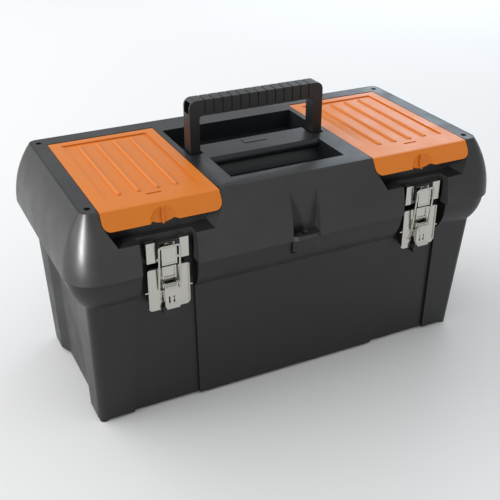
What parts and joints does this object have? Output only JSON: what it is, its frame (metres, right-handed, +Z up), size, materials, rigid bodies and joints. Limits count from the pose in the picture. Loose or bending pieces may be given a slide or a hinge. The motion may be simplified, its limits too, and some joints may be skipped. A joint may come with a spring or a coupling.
{
  "type": "toolbox with tray",
  "caption": "Moulded toolbox with hinged lid, flip-up lid organizers, folding carry handle, draw latches and a lift-out tray.",
  "frame": {"origin": "centre of the footprint, on the floor that the feet stand on", "axes": "+X along the length, -Y is the front with the latches, +Z up"},
  "size_m": [0.489, 0.251, 0.3035],
  "materials": {
    "tub_plastic": "fine satin texture",
    "deck_plastic": "fine satin texture",
    "handle_plastic": "fine satin texture",
    "tray_plastic": "fine satin texture",
    "cover_plastic": "satin",
    "latch_steel": "bright nickel plate",
    "wire_steel": "bright nickel plate",
    "pin_steel": "drawn",
    "screw_black": "black oxide"
  },
  "bodies": {
    "base": {"base_tub": "tub_plastic", "rear_hinge_pins": "pin_steel", "latch_base_left": "latch_steel", "latch_base_right": "latch_steel", "lever_pins": "pin_steel", "base_rivets": "latch_steel"},
    "lid": {"lid_shell": "tub_plastic", "lid_deck": "deck_plastic", "deck_screws": "screw_black", "latch_keeper_left": "latch_steel", "latch_keeper_right": "latch_steel", "keeper_rivets": "latch_steel", "handle_pins": "pin_steel"},
    "handle": {"carry_handle": "handle_plastic"},
    "cover_left": {"organizer_cover_left": "cover_plastic"},
    "cover_right": {"organizer_cover_right": "cover_plastic"},
    "tray": {"tool_tray": "tray_plastic"},
    "lever_left": {"latch_lever_left": "latch_steel"},
    "lever_right": {"latch_lever_right": "latch_steel"},
    "bail_left": {"latch_bail_left": "wire_steel"},
    "bail_right": {"latch_bail_right": "wire_steel"}
  },
  "joints": [
    {"name": "lid_hinge", "type": "hinge", "parent": "base", "child": "lid", "pos_m": [0, 0.1215, 0.1865], "axis": [-1, 0, 0], "range_deg": [0, 100]},
    {"name": "handle_fold", "type": "hinge", "parent": "lid", "child": "handle", "pos_m": [0, -0.0025, 0.2355], "axis": [-1, 0, 0], "range_deg": [0, 90]},
    {"name": "tray_lift", "type": "slide", "parent": "base", "child": "tray", "axis": [0, 0, 1], "range_m": [0, 0.1]},
    {"name": "cover_left_hinge", "type": "hinge", "parent": "lid", "child": "cover_left", "pos_m": [-0.147, 0.081, 0.24505], "axis": [-1, 0, 0], "range_deg": [0, 100]},
    {"name": "lever_left_hinge", "type": "hinge", "parent": "base", "child": "lever_left", "pos_m": [-0.147, -0.1171, 0.164], "axis": [-1, 0, 0], "range_deg": [0, 140]},
    {"name": "bail_left_hinge", "type": "hinge", "parent": "lever_left", "child": "bail_left", "pos_m": [-0.147, -0.1151, 0.157], "axis": [-1, 0, 0], "range_deg": [-150, 0]},
    {"name": "cover_right_hinge", "type": "hinge", "parent": "lid", "child": "cover_right", "pos_m": [0.147, 0.081, 0.24505], "axis": [-1, 0, 0], "range_deg": [0, 100]},
    {"name": "lever_right_hinge", "type": "hinge", "parent": "base", "child": "lever_right", "pos_m": [0.147, -0.1171, 0.164], "axis": [-1, 0, 0], "range_deg": [0, 140]},
    {"name": "bail_right_hinge", "type": "hinge", "parent": "lever_right", "child": "bail_right", "pos_m": [0.147, -0.1151, 0.157], "axis": [-1, 0, 0], "range_deg": [-150, 0]}
  ],
  "couplings": [
    {"joint": "tray_lift", "follows": "lid_hinge", "m_per_rad": 0.057},
    {"joint": "bail_left_hinge", "follows": "lever_left_hinge", "ratio": -1.06},
    {"joint": "bail_right_hinge", "follows": "lever_right_hinge", "ratio": -1.06}
  ]
}
